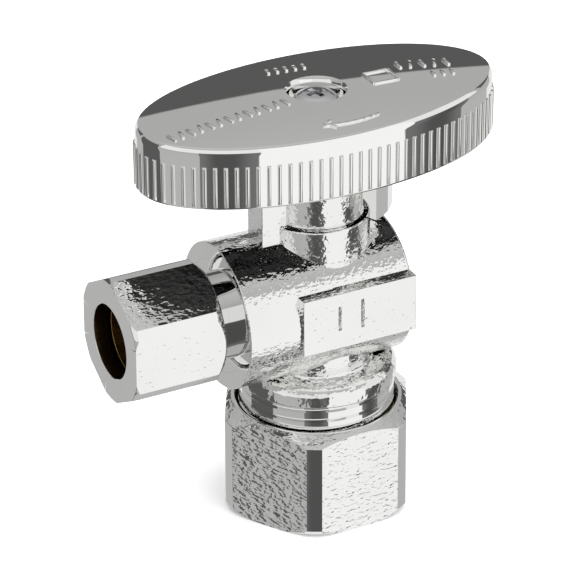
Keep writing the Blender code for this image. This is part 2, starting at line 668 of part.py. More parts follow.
def build():
    """Make every piece of the valve."""
    for old in list(bpy.data.objects):
        bpy.data.objects.remove(old, do_unlink=True)
    group = collection("angle_stop_valve")
    cutters = collection("cutters")
    forged = material("forged_chrome", (0.72, 0.73, 0.75), 0.22, 1.0)
    polished = material("polished_chrome", (0.80, 0.81, 0.83), 0.06, 1.0)
    brass = material("brass", (0.78, 0.57, 0.28), 0.28, 1.0)
    steel = material("steel", (0.56, 0.56, 0.58), 0.20, 1.0)
    plastic = material("seat_plastic", (0.90, 0.90, 0.87), 0.45, 0.0)
    rubber = material("black_rubber", (0.02, 0.02, 0.02), 0.60, 0.0)

    make_body(group, cutters, forged)
    make_adapter(group, forged)
    ring_r = RETAINER_BORE_R - GAP - RING_SECTION_R
    lay_along_outlet(make_ring("adapter_o_ring", ring_r, group, rubber), ADAPTER_GROOVE_X)

    make_ball(group, cutters, polished)
    lay_along_outlet(make_seat("seat_back", group, plastic), 0.0)
    outlet_seat = make_seat("seat_outlet", group, plastic)
    outlet_seat.rotation_euler = (0.0, math.radians(90.0), 0.0)
    outlet_seat.location = (0.0, 0.0, BARREL_AXIS_Z)

    make_stem(group, cutters, brass)
    make_washer(group, plastic)
    stem_ring_r = STEM_R - RING_SECTION_R
    for name, height in (("stem_o_ring_lower", LOWER_GROOVE_Z),
                         ("stem_o_ring_upper", UPPER_GROOVE_Z)):
        make_ring(name, stem_ring_r, group, rubber).location = (0.0, 0.0, height)

    make_handle(group, cutters, polished)
    make_screw(group, cutters, steel)

    make_nut("inlet_nut", INLET, group, cutters, forged)
    make_sleeve("inlet_sleeve", INLET, group, brass)
    for piece in make_nut("outlet_nut", OUTLET, group, cutters, forged):
        outlet_upside(piece)
    outlet_upside(make_sleeve("outlet_sleeve", OUTLET, group, brass))


build()
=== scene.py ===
"""Looks of a chromed quarter-turn angle stop valve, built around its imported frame.

Lengths in the tables and helpers are in millimetres; meshes are in metres.
"""

import math

import bpy
from bpy.props import FloatProperty, FloatVectorProperty, IntProperty, PointerProperty
from mathutils import Matrix, Vector


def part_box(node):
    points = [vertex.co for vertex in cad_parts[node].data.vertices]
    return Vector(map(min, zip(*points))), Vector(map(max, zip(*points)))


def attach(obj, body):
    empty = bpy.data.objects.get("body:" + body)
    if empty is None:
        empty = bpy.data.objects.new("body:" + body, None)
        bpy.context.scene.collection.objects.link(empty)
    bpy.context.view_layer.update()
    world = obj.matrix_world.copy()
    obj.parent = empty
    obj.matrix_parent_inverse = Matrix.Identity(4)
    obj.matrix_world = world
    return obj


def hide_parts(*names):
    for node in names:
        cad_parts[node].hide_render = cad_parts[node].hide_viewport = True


bl_info = {
    "name": "Angle Stop Valve",
    "version": (1, 0, 0),
    "blender": (4, 5, 0),
    "location": "View3D > Sidebar > Valve",
    "description": "Builds the pieces, finishes and stage of a quarter-turn angle stop valve",
    "category": "Object",
}

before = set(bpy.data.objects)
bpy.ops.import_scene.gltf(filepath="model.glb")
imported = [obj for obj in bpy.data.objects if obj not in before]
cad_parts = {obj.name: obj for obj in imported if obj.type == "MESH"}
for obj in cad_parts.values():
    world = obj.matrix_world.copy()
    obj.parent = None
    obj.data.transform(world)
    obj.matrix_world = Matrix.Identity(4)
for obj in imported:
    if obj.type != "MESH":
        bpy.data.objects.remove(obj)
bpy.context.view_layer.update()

MM = 0.001
ROUND = 144
SMALL_ROUND = 96
SHARP = math.radians(28.0)


def box_mm(node):
    """Lowest and highest corner of a frame node, in millimetres."""
    low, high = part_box(node)
    return low / MM, high / MM


NUT_LOW, NUT_HIGH = box_mm("inlet_nut")
OUT_LOW, OUT_HIGH = box_mm("outlet_nut")
HANDLE_LOW, HANDLE_HIGH = box_mm("handle")
BODY_LOW, BODY_HIGH = box_mm("valve_body")
AXIS_Z = (OUT_LOW.z + OUT_HIGH.z) / 2

# Compression ends: radii of the tube, its hole and the thread's crest, the hexagon's flats,
# the radius its corners are trimmed to, the lip and the nut's turn in degrees, the thread's
# pitch, the nut's length, where the thread starts, the outer cone and the inner cone.
INLET = {"tube": 7.94, "hole": 8.14, "thread": 10.32, "flats": 23.81, "corner": 13.2,
         "lip": 2.6, "turn": 1.3, "pitch": 1.411, "length": NUT_HIGH.z, "mouth": 5.32,
         "cone": 1.05, "top_wide": 1.9, "top_high": 1.2}
OUTLET = {"tube": 4.76, "hole": 4.96, "thread": 7.14, "flats": 15.88, "corner": 8.81,
          "lip": 1.8, "turn": 0.5, "pitch": 1.058, "length": OUT_HIGH.x - OUT_LOW.x,
          "mouth": 4.52, "cone": 0.45, "top_wide": 1.02, "top_high": 1.2}
THREAD_CREST = 0.62

# Body: bonnet and its upper step, neck, shoulder, barrel, pad and stop lug.
BONNET_R = 6.96
BONNET_TOP_R = 6.05
BONNET_STEP_Z = 41.8
NECK_R = 7.2
SHOULDER_R = 10.6
SHOULDER_FOOT = 18.0
SHOULDER_TOP = 20.5
THREAD_ROOT_R = 9.3
STEM_BORE_R = 4.1
WATERWAY_R = 5.3
BALL_CAVITY_R = 6.5
TUBE_STOP_Z = 17.5
PAD_FACE_Y = -10.3
PAD_LOW = (-7.15, PAD_FACE_Y, 26.7)
PAD_HIGH = (9.25, 0.0, 34.6)
LUG_LOW = (-9.0, -2.4, 36.0)
LUG_HIGH = (-4.4, 1.8, 46.6)
BARREL_R = 9.82
BARREL_RIGHT_R = 9.62
BARREL_STEP_X = -2.1
BARREL_OUTLET_X = BODY_LOW.x
BARREL_CLOSED_X = 9.45
BARREL_BORE_R = 7.9
ADAPTER_R = 7.6
ADAPTER_NECK_R = 5.8
ADAPTER_WATERWAY_R = 3.4
NECK_SHOWN = 2.3

# Handle: heights of its hub, hollow, ribs and recess, its wall and the round of its edge.
HUB_BOTTOM = 47.6
HANDLE_BOTTOM = 49.6
RIB_TOP = 55.5
CEILING = 55.6
RECESS_FLOOR = 56.2
EDGE_TOP = 58.0
EDGE_ROUND = 1.4
EDGE_SWEEP = math.radians(42.0)
EDGE_HIGH = EDGE_ROUND * math.sin(EDGE_SWEEP) + 0.06
EDGE_WIDE = EDGE_ROUND * (1.0 - math.cos(EDGE_SWEEP)) + 0.06
HANDLE_WALL = 1.5
HUB_R = 5.6
SKIRT_IN_R = 7.3
SKIRT_OUT_R = 9.85
SKIRT_START = math.radians(-66.8)
SKIRT_END = math.radians(163.3)
RECESS_R = 3.5
RIB_STEPS = 5
RIB_WIDE = 2

# Camera: the point it looks at in metres, its lens in millimetres and its roll.
CAMERA_TARGET = (-0.00343, 0.00135, 0.03040)
CAMERA_LENS = 229.66
CAMERA_ROLL = math.radians(-0.25)
LAMP_SIZE = 1.5


# ---------------------------------------------------------------- modelling helpers

def deselect():
    """Nothing selected and nothing active."""
    for obj in list(bpy.context.selected_objects):
        obj.select_set(False)
    bpy.context.view_layer.objects.active = None


def only(obj):
    """Select one object and make it active."""
    deselect()
    obj.select_set(True)
    bpy.context.view_layer.objects.active = obj
    return obj


def edit(obj):
    """Go into edit mode on one object."""
    only(obj)
    bpy.ops.object.mode_set(mode="EDIT")


def leave():
    """Go back to object mode."""
    bpy.ops.object.mode_set(mode="OBJECT")


def settle(obj):
    """Put an object's place, turn and size into its mesh."""
    only(obj)
    bpy.ops.object.transform_apply(location=True, rotation=True, scale=True)
    return obj


def clean(obj):
    """Merge doubles and turn the faces outwards."""
    edit(obj)
    bpy.ops.mesh.select_all(action="SELECT")
    bpy.ops.mesh.remove_doubles(threshold=0.000002)
    bpy.ops.mesh.normals_make_consistent(inside=False)
    leave()
    return obj


def finish_modifier(obj, kind, **values):
    """Add a modifier, set it and apply it."""
    only(obj)
    made = obj.modifiers.new(kind.title(), kind)
    for key, value in values.items():
        setattr(made, key, value)
    bpy.ops.object.modifier_apply(modifier=made.name)
    return obj


def line(name, points, closed=False):
    """A chain of edges through points in millimetres, drawn by extruding one vertex."""
    points = [Vector(point) * MM for point in points]
    deselect()
    bpy.ops.mesh.primitive_plane_add(size=MM)
    obj = bpy.context.object
    obj.name = name
    bpy.ops.object.mode_set(mode="EDIT")
    bpy.ops.mesh.select_mode(type="VERT")
    bpy.ops.mesh.select_all(action="SELECT")
    bpy.ops.mesh.merge(type="CENTER")
    bpy.ops.transform.translate(value=points[0])
    if closed:
        points.append(points[0])
    for here, there in zip(points, points[1:]):
        bpy.ops.mesh.extrude_region_move(TRANSFORM_OT_translate={"value": there - here})
    if closed:
        bpy.ops.mesh.select_all(action="SELECT")
        bpy.ops.mesh.remove_doubles(threshold=0.000001)
    leave()
    return obj


def rounded(points, closed=False, steps=3):
    """Round an outline's corners: each point is (radius, height, corner radius)."""
    out = []
    count = len(points)
    for i, (x, y, corner) in enumerate(points):
        here = Vector((x, y))
        if corner == 0 or (not closed and i in (0, count - 1)):
            out.append((x, y))
            continue
        back = Vector(points[i - 1][:2]) - here
        ahead = Vector(points[(i + 1) % count][:2]) - here
        half = back.angle(ahead) / 2
        cut = min(corner / math.tan(half), 0.48 * back.length, 0.48 * ahead.length)
        back.normalize()
        ahead.normalize()
        reach = cut * math.tan(half)
        centre = here + (back + ahead).normalized() * (reach / math.sin(half))
        first = here + back * cut - centre
        last = here + ahead * cut - centre
        start = math.atan2(first.y, first.x)
        sweep = math.atan2(last.y, last.x) - start
        sweep = (sweep + math.pi) % (2 * math.pi) - math.pi
        for k in range(steps + 1):
            angle = start + sweep * k / steps
            out.append((centre.x + reach * math.cos(angle), centre.y + reach * math.sin(angle)))
    return out


def turned(name, profile, steps=ROUND, closed=False, pitch=0.0, turns=1):
    """A turned shape about Z from (radius, height) points; a pitch makes it a helix."""
    obj = line(name, [(radius, 0.0, height) for radius, height in profile], closed)
    finish_modifier(obj, "SCREW", steps=steps, render_steps=steps, use_merge_vertices=True,
                    merge_threshold=0.000002, screw_offset=pitch * MM, iterations=turns)
    return clean(obj)


def lay_out(obj, x=0.0):
    """Turn a shape made about Z so that its +Z points along +X, from x on the barrel's axis."""
    obj.rotation_euler = (0.0, math.radians(90.0), 0.0)
    obj.location = (x * MM, 0.0, AXIS_Z * MM)
    return settle(obj)


def block(name, low, high, bevel=0.0):
    """A box between two corners with bevelled edges."""
    low, high = Vector(low) * MM, Vector(high) * MM
    deselect()
    bpy.ops.mesh.primitive_cube_add(size=1.0, location=(low + high) / 2)
    obj = bpy.context.object
    obj.name = name
    obj.scale = high - low
    settle(obj)
    if bevel:
        edit(obj)
        bpy.ops.mesh.select_all(action="SELECT")
        bpy.ops.mesh.bevel(offset=bevel * MM, segments=2, affect="EDGES")
        leave()
    return obj


def choose(obj, test):
    """Select the faces that pass a test of (centre in mm, normal), and stay in edit mode."""
    edit(obj)
    bpy.ops.mesh.select_mode(type="FACE")
    bpy.ops.mesh.select_all(action="DESELECT")
    leave()
    for face in obj.data.polygons:
        face.select = test(face.center / MM, face.normal)
    edit(obj)


def combine(obj, other, operation):
    """Boolean another object into this one and remove it."""
    finish_modifier(obj, "BOOLEAN", operation=operation, object=other, solver="EXACT")
    bpy.data.objects.remove(other, do_unlink=True)
    return obj


def smooth(obj, angle=SHARP):
    """Smooth shading with crisp edges past an angle and flat broad faces."""
    only(obj)
    bpy.ops.object.shade_smooth_by_angle(angle=angle)
    return finish_modifier(obj, "WEIGHTED_NORMAL", weight=80, keep_sharp=True)


def dress(obj, *materials):
    """Give a piece its materials, the first one all over."""
    obj.data.materials.clear()
    for material in materials:
        obj.data.materials.append(material)
    for face in obj.data.polygons:
        face.material_index = 0
    return obj


def paint(obj, index, test):
    """Give the faces that pass a test of (centre in mm, normal) another material."""
    for face in obj.data.polygons:
        if test(face.center / MM, face.normal):
            face.material_index = index


def ready(obj, body, slot, *nodes):
    """Settle a finished piece on its body and hide the nodes that it stands for; slot is not
    used.
    """
    settle(obj)
    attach(obj, body)
    if nodes:
        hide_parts(*nodes)
    return obj


# ---------------------------------------------------------------- shader helpers

def add(tree, kind, **inputs):
    """A node with its inputs set or linked; keys are socket names."""
    made = tree.nodes.new(kind)
    for key, value in inputs.items():
        set_input(tree, made, key, value)
    return made


def set_input(tree, made, key, value):
    """Set or link one input, named by words or by number."""
    socket = made.inputs[int(key[1:])] if key[0] == "_" else made.inputs[key.replace("_", " ")]
    if isinstance(value, bpy.types.NodeSocket):
        tree.links.new(value, socket)
    else:
        socket.default_value = value


def calc(tree, operation, first, second=0.0, third=0.0):
    """A Math node's result."""
    made = tree.nodes.new("ShaderNodeMath")
    made.operation = operation
    for i, value in enumerate((first, second, third)):
        if isinstance(value, bpy.types.NodeSocket):
            tree.links.new(value, made.inputs[i])
        else:
            made.inputs[i].default_value = value
    return made.outputs[0]


def ramp(tree, value, low, high, out_low=0.0, out_high=1.0):
    """A smooth step of a value between two limits."""
    made = tree.nodes.new("ShaderNodeMapRange")
    made.interpolation_type = "SMOOTHSTEP"
    tree.links.new(value, made.inputs["Value"])
    for key, number in (("From Min", low), ("From Max", high),
                        ("To Min", out_low), ("To Max", out_high)):
        made.inputs[key].default_value = number
    return made.outputs["Result"]


def group(name, inputs, outputs):
    """A new node group with float sockets; a Vector input comes first."""
    made = bpy.data.node_groups.new(name, "ShaderNodeTree")
    made.interface.new_socket("Vector", in_out="INPUT", socket_type="NodeSocketVector")
    for key, default in inputs:
        socket = made.interface.new_socket(key, in_out="INPUT", socket_type="NodeSocketFloat")
        socket.default_value = default
    for key in outputs:
        made.interface.new_socket(key, in_out="OUTPUT", socket_type="NodeSocketFloat")
    return made, made.nodes.new("NodeGroupInput"), made.nodes.new("NodeGroupOutput")


def pebble_group():
    """Hammered skin of a forging: a height of small uneven dimples."""
    name = "Forged Pebbles"
    if name in bpy.data.node_groups:
        return bpy.data.node_groups[name]
    tree, come, go = group(name, (("Size", 0.6), ("Waves", 3.0)), ("Height",))
    fine = add(tree, "ShaderNodeTexNoise", Vector=come.outputs["Vector"], Detail=1.2,
               Roughness=0.45, Distortion=0.25)
    tree.links.new(calc(tree, "DIVIDE", 1.0 / MM, come.outputs["Size"]), fine.inputs["Scale"])
    broad = add(tree, "ShaderNodeTexNoise", Vector=come.outputs["Vector"], Detail=1.0)
    tree.links.new(calc(tree, "DIVIDE", 1.0 / MM, come.outputs["Waves"]), broad.inputs["Scale"])
    total = calc(tree, "MULTIPLY_ADD", broad.outputs["Fac"], 0.9, fine.outputs["Fac"])
    tree.links.new(total, go.inputs["Height"])
    return tree


def haze_group():
    """Handling haze: a roughness that varies softly over polished metal."""
    name = "Handling Haze"
    if name in bpy.data.node_groups:
        return bpy.data.node_groups[name]
    tree, come, go = group(name, (("Size", 6.0), ("Low", 0.03), ("High", 0.08)), ("Roughness",))
    soft = add(tree, "ShaderNodeTexNoise", Vector=come.outputs["Vector"], Detail=5.0,
               Roughness=0.62)
    tree.links.new(calc(tree, "DIVIDE", 1.0 / MM, come.outputs["Size"]), soft.inputs["Scale"])
    share = ramp(tree, soft.outputs["Fac"], 0.38, 0.72)
    spread = calc(tree, "SUBTRACT", come.outputs["High"], come.outputs["Low"])
    tree.links.new(calc(tree, "MULTIPLY_ADD", share, spread, come.outputs["Low"]),
                   go.inputs["Roughness"])
    return tree


def use_group(tree, source, **inputs):
    """Place a node group in a tree."""
    made = tree.nodes.new("ShaderNodeGroup")
    made.node_tree = source
    for key, value in inputs.items():
        set_input(tree, made, key, value)
    return made


def metal(name, colour, low, high, pebble=0.0, size=0.6, waves=3.0, grain=(1.0, 1.0, 1.0),
          tint=0.04):
    """A metal with haze, slight tone drift and, where asked, a forged skin."""
    name = name.replace("_", " ").title()
    if name in bpy.data.materials:
        return bpy.data.materials[name]
    made = bpy.data.materials.new(name)
    made.use_nodes = True
    tree = made.node_tree
    shader = tree.nodes["Principled BSDF"]
    shader.inputs["Metallic"].default_value = 1.0
    place = tree.nodes.new("ShaderNodeTexCoord").outputs["Object"]
    haze = use_group(tree, haze_group(), Vector=place, Low=low, High=high)
    tree.links.new(haze.outputs["Roughness"], shader.inputs["Roughness"])
    drift = add(tree, "ShaderNodeTexNoise", Vector=place, Scale=1.0 / (9.0 * MM), Detail=3.0)
    mix = tree.nodes.new("ShaderNodeMix")
    mix.data_type = "RGBA"
    mix.inputs["A"].default_value = (*colour, 1.0)
    mix.inputs["B"].default_value = (*[c * (1.0 - 2.0 * tint) for c in colour], 1.0)
    tree.links.new(drift.outputs["Fac"], mix.inputs["Factor"])
    tree.links.new(mix.outputs["Result"], shader.inputs["Base Color"])
    lie = add(tree, "ShaderNodeVectorMath", _0=place, _1=grain)
    lie.operation = "MULTIPLY"
    skin = use_group(tree, pebble_group(), Vector=lie.outputs["Vector"], Size=size, Waves=waves)
    bump = add(tree, "ShaderNodeBump", Strength=1.0, Distance=pebble * MM,
               Height=skin.outputs["Height"])
    tree.links.new(bump.outputs["Normal"], shader.inputs["Normal"])
    return made


def plain(name, colour, low, high):
    """A plastic or rubber with a soft roughness drift and a fine grain."""
    made = metal(name, colour, low, high, pebble=0.02, size=0.25, waves=1.5)
    made.node_tree.nodes["Principled BSDF"].inputs["Metallic"].default_value = 0.0
    return made


def finish_of(name):
    """One of the valve's finishes, made from the finish properties."""
    p = bpy.context.scene.valve_finish
    if name == "polished_chrome":
        return metal(name, p.chrome, 0.01, 0.03, pebble=0.002, size=5.0, waves=9.0, tint=0.01)
    if name == "smooth_chrome":
        return metal(name, p.chrome, 0.02, 0.05, pebble=0.006, size=2.2, waves=5.0)
    if name == "forged_chrome":
        return metal(name, p.chrome, 0.03, 0.07, pebble=p.body_pebble / MM, size=0.5, waves=1.8,
                     grain=(0.8, 1.0, 1.2))
    if name == "shoulder_chrome":
        return metal(name, p.chrome, 0.03, 0.07, pebble=1.4 * p.body_pebble / MM, size=0.8,
                     waves=2.4)
    if name == "inlet_nut_chrome":
        return metal(name, p.chrome, 0.03, 0.07, pebble=1.2 * p.nut_pebble / MM, size=0.85,
                     waves=2.0, grain=(1.0, 1.0, 2.2))
    if name == "outlet_nut_chrome":
        return metal(name, p.chrome, 0.03, 0.07, pebble=p.nut_pebble * 0.8 / MM, size=0.6,
                     waves=1.6, grain=(0.8, 1.0, 1.5))
    # The handle's hollow underside: a near-black metal as painted shade under the handle.
    if name == "handle_hollow_painted_shade":
        return metal(name, (0.10, 0.10, 0.10), 0.30, 0.45, pebble=0.01, size=0.6)
    # Bare brass of the bores and nut holes, darkened to 0.36 of its colour as painted shade
    # inside the hollows.
    if name == "bore_brass_painted_shade":
        return metal(name, [c * 0.36 for c in p.brass], 0.24, 0.36, pebble=0.006, size=0.5,
                     waves=2.0)
    if name == "brass":
        return metal(name, p.brass, 0.22, 0.34, pebble=0.006, size=0.5, waves=2.0)
    if name == "screw_steel":
        return metal(name, p.steel, 0.10, 0.18, pebble=0.006, size=0.8, waves=2.0)
    if name == "seat_plastic":
        return plain(name, p.plastic, 0.38, 0.50)
    return plain("black_rubber", p.rubber, 0.50, 0.68)


# ---------------------------------------------------------------- properties

class ValveSizes(bpy.types.PropertyGroup):
    """Sizes of the details that the frame leaves out."""

    rib_count: IntProperty(name="Ribs", description="Grip ribs round the handle's edge",
                           default=90, min=12, max=160)
    rib_height: FloatProperty(name="Rib Height", description="How far the ribs stand out",
                              default=0.00025, unit="LENGTH")
    rib_bevel: FloatProperty(name="Rib Flank", description="Width of a rib's sloping side",
                             default=0.00023, unit="LENGTH")
    edge_round: FloatProperty(name="Edge Rounding", description="Rounding of machined edges",
                              default=0.00015, unit="LENGTH")
    bar_depth: FloatProperty(name="Pad Bar Depth", description="Depth of the bars in the pad",
                             default=0.00060, unit="LENGTH")
    mark_height: FloatProperty(name="Mark Height", description="Height of the handle's marks",
                               default=0.00024, unit="LENGTH")


class ValveFinish(bpy.types.PropertyGroup):
    """Colours and surface depths."""

    chrome: FloatVectorProperty(name="Chrome", description="Colour of the plating",
                                default=(0.93, 0.93, 0.918), subtype="COLOR")
    brass: FloatVectorProperty(name="Brass", description="Colour of the bare metal",
                               default=(0.62, 0.43, 0.16), subtype="COLOR")
    steel: FloatVectorProperty(name="Steel", description="Colour of the screw",
                               default=(0.78, 0.78, 0.79), subtype="COLOR")
    plastic: FloatVectorProperty(name="Seat Plastic", description="Colour of the seats",
                                 default=(0.86, 0.86, 0.82), subtype="COLOR")
    rubber: FloatVectorProperty(name="Rubber", description="Colour of the O-rings",
                                default=(0.02, 0.02, 0.022), subtype="COLOR")
    body_pebble: FloatProperty(name="Body Pebbles", description="Depth of the body's skin",
                               default=0.00007, unit="LENGTH")
    nut_pebble: FloatProperty(name="Nut Pebbles", description="Depth of the nuts' skin",
                              default=0.00008, unit="LENGTH")


class ValveStage(bpy.types.PropertyGroup):
    """Light, floor and camera."""

    room: FloatProperty(name="Room Light", description="Level of the grey room", default=0.50)
    window: FloatProperty(name="Soft Box", description="Level of the soft box", default=0.97)
    flag: FloatProperty(name="Flags", description="Level of the dark flags", default=0.085)
    back: FloatProperty(name="Back Flag", description="Level of the flag behind", default=0.10)
    under: FloatProperty(name="Low Panel", description="Level of the low back panel",
                         default=0.85)
    floor: FloatVectorProperty(name="Floor", description="Colour of the floor",
                               default=(0.92, 0.92, 0.92), subtype="COLOR")
    azimuth: FloatProperty(name="Camera Turn", description="Camera's angle round the valve",
                           default=math.radians(-27.23), subtype="ANGLE")
    elevation: FloatProperty(name="Camera Height", description="Camera's angle above level",
                             default=math.radians(28.0), subtype="ANGLE")
    distance: FloatProperty(name="Camera Distance", description="From the camera to the valve",
                            default=0.4785, unit="LENGTH")


# ---------------------------------------------------------------- operators

class VALVE_OT_stage(bpy.types.Operator):
    """Make the floor, the studio light and the camera"""

    bl_idname = "valve.stage"
    bl_label = "Stage"

    def execute(self, context):
        p = context.scene.valve_stage
        self.floor(p)
        self.studio(context, p)
        self.camera(context, p)
        return {"FINISHED"}

    def floor(self, p):
        deselect()
        bpy.ops.mesh.primitive_grid_add(x_subdivisions=24, y_subdivisions=24, size=6.0)
        floor = bpy.context.object
        floor.name = "floor"
        made = bpy.data.materials.new("floor_paper")
        made.use_nodes = True
        tree = made.node_tree
        shader = tree.nodes["Principled BSDF"]
        place = tree.nodes.new("ShaderNodeTexCoord").outputs["Object"]
        noise = add(tree, "ShaderNodeTexNoise", Vector=place, Scale=3.0, Detail=2.0)
        tone = ramp(tree, noise.outputs["Fac"], 0.2, 0.8, p.floor[0], p.floor[0] * 0.985)
        tree.links.new(tone, shader.inputs["Base Color"])
        shader.inputs["Roughness"].default_value = 0.9
        dress(floor, made)
        floor.visible_glossy = False

    def studio(self, context, p):
        scene = context.scene
        scene.view_settings.view_transform = "Standard"
        world = bpy.data.worlds.new("studio")
        scene.world = world
        world.use_nodes = True
        tree = world.node_tree
        ray = tree.nodes.new("ShaderNodeTexCoord").outputs["Generated"]
        split = add(tree, "ShaderNodeSeparateXYZ", Vector=ray)
        turn = calc(tree, "MULTIPLY", calc(tree, "ARCTAN2", split.outputs["Y"],
                                           split.outputs["X"]), math.degrees(1.0))
        rise = calc(tree, "MULTIPLY", calc(tree, "ARCSINE", split.outputs["Z"]),
                    math.degrees(1.0))

        def panel(level, around, up, soft=0.4):
            """Lay a panel of one level over what is there so far."""
            nonlocal light
            mask = None
            for value, (low, high) in ((turn, around), (rise, up)):
                inside = calc(tree, "MULTIPLY", ramp(tree, value, low - soft, low + soft),
                              ramp(tree, value, high - soft, high + soft, 1.0, 0.0))
                mask = inside if mask is None else calc(tree, "MULTIPLY", mask, inside)
            gap = calc(tree, "SUBTRACT", level, light)
            light = calc(tree, "MULTIPLY_ADD", mask, gap, light)

        light = calc(tree, "ADD", ramp(tree, rise, -60.0, 20.0, p.room, p.room * 0.86),
                     ramp(tree, rise, 28.0, 64.0, 0.0, p.room * 0.3))
        foot, sill, top = -60.0, 4.0, 38.0
        for start, end in ((-135.0, -100.0), (-46.0, -15.0)):
            panel(p.flag * 2.0, (start, end), (foot, sill))
            panel(p.flag, (start + 7.0, end - 7.0), (foot, sill), 6.0)
        panel(p.under, (-181.0, -5.0), (sill, top))
        panel(p.window, (-100.0, -46.0), (-43.0, top))
        panel(p.flag * 1.2, (131.0, 176.0), (foot, 21.0))
        panel(p.under, (20.0, 100.0), (foot, 6.0))
        panel(p.back, (0.0, 125.0), (6.0, 23.2))
        tree.links.new(light, tree.nodes["Background"].inputs["Color"])
        for name, place, power in (("key_lamp", (0.2, -0.4, 0.9), 17.0),
                                   ("fill_lamp", (-0.5, 0.45, 0.9), 13.0)):
            data = bpy.data.lights.new(name, "AREA")
            data.size = LAMP_SIZE
            data.energy = power
            lamp = bpy.data.objects.new(name, data)
            scene.collection.objects.link(lamp)
            lamp.location = place
            lamp.rotation_euler = (-Vector(place)).to_track_quat("-Z", "Y").to_euler()
            lamp.visible_glossy = False

    def camera(self, context, p):
        across, up = math.cos(p.elevation), math.sin(p.elevation)
        back = Vector((math.sin(p.azimuth) * across, -math.cos(p.azimuth) * across, up))
        data = bpy.data.cameras.new("camera")
        data.lens = CAMERA_LENS
        data.sensor_width = 36.0
        data.clip_start = 0.01
        data.clip_end = 20.0
        camera = bpy.data.objects.new("camera", data)
        context.scene.collection.objects.link(camera)
        roll = Matrix.Rotation(CAMERA_ROLL, 4, "Z")
        turn = (-back).to_track_quat("-Z", "Y").to_matrix().to_4x4() @ roll
        place = Vector(CAMERA_TARGET) + back * p.distance
        camera.matrix_world = Matrix.Translation(place) @ turn
        context.scene.camera = camera


def threaded(name, blank, size, low, high, depth):
    """Cut a turned blank with an outside thread between two heights."""
    pitch, crest = size["pitch"], size["thread"]
    root = crest - depth
    flank = (1.0 - THREAD_CREST) * pitch / 2
    profile = [(root, 0.0), (root + 0.03, 0.06 * pitch), (crest, flank),
               (crest, pitch - flank), (root + 0.03, 0.94 * pitch), (root, pitch)]
    profile = [(r, z + low - pitch) for r, z in profile]
    turns = int((high - low) / pitch) + 3
    helix = turned(name + "_helix", profile, SMALL_ROUND, pitch=pitch, turns=turns)
    edit(helix)
    bpy.ops.mesh.select_all(action="DESELECT")
    bpy.ops.mesh.select_mode(type="EDGE")
    bpy.ops.mesh.select_non_manifold()
    bpy.ops.mesh.edge_face_add()
    bpy.ops.mesh.select_all(action="SELECT")
    bpy.ops.mesh.quads_convert_to_tris()
    bpy.ops.mesh.normals_make_consistent(inside=False)
    leave()
    return combine(blank, helix, "INTERSECT")


